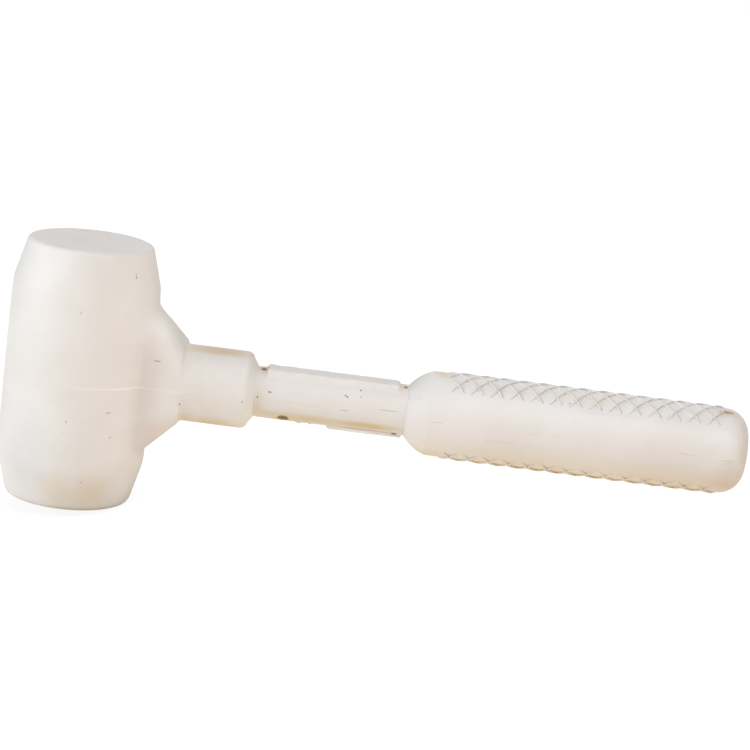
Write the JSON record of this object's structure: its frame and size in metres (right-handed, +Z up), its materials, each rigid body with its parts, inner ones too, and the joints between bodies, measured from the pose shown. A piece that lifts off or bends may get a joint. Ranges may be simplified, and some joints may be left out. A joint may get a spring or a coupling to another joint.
{
  "type": "rubber mallet",
  "caption": "Dead-blow rubber mallet: barrel head braced to a round collar, slim neck and a thick ribbed grip, moulded over a shot-filled steel canister and a tubular steel core.",
  "frame": {"origin": "centre of the lower striking face", "axes": "+Z up the head's axis to the upper striking face, +X along the handle towards the end of the grip"},
  "size_m": [0.3053, 0.0606, 0.107],
  "materials": {
    "cover_rubber": "satin moulded off-white",
    "canister_steel": "drawn steel tube with a thin oil film",
    "weld_steel": "rippled weld bead",
    "shot_steel": "dull round shot",
    "core_steel": "drawn steel tube",
    "fastening_steel": "zinc-plated turned steel"
  },
  "bodies": {
    "mallet": {"head_cover": "cover_rubber", "neck_cover": "cover_rubber", "grip_cover": "cover_rubber", "canister_tube": "canister_steel", "canister_cap_lower": "canister_steel", "canister_cap_upper": "canister_steel", "cap_weld_lower": "weld_steel", "cap_weld_upper": "weld_steel", "fill_plug": "fastening_steel", "handle_socket": "core_steel", "socket_weld": "weld_steel", "socket_pin": "fastening_steel", "handle_core": "core_steel", "core_end_plug": "fastening_steel", "anchor_washers": "fastening_steel"},
    "shot": {"shot": "shot_steel"}
  },
  "joints": [
    {"name": "shot_slide", "type": "slide", "parent": "mallet", "child": "shot", "axis": [0, 0, 1], "range_m": [0, 0.017]}
  ]
}
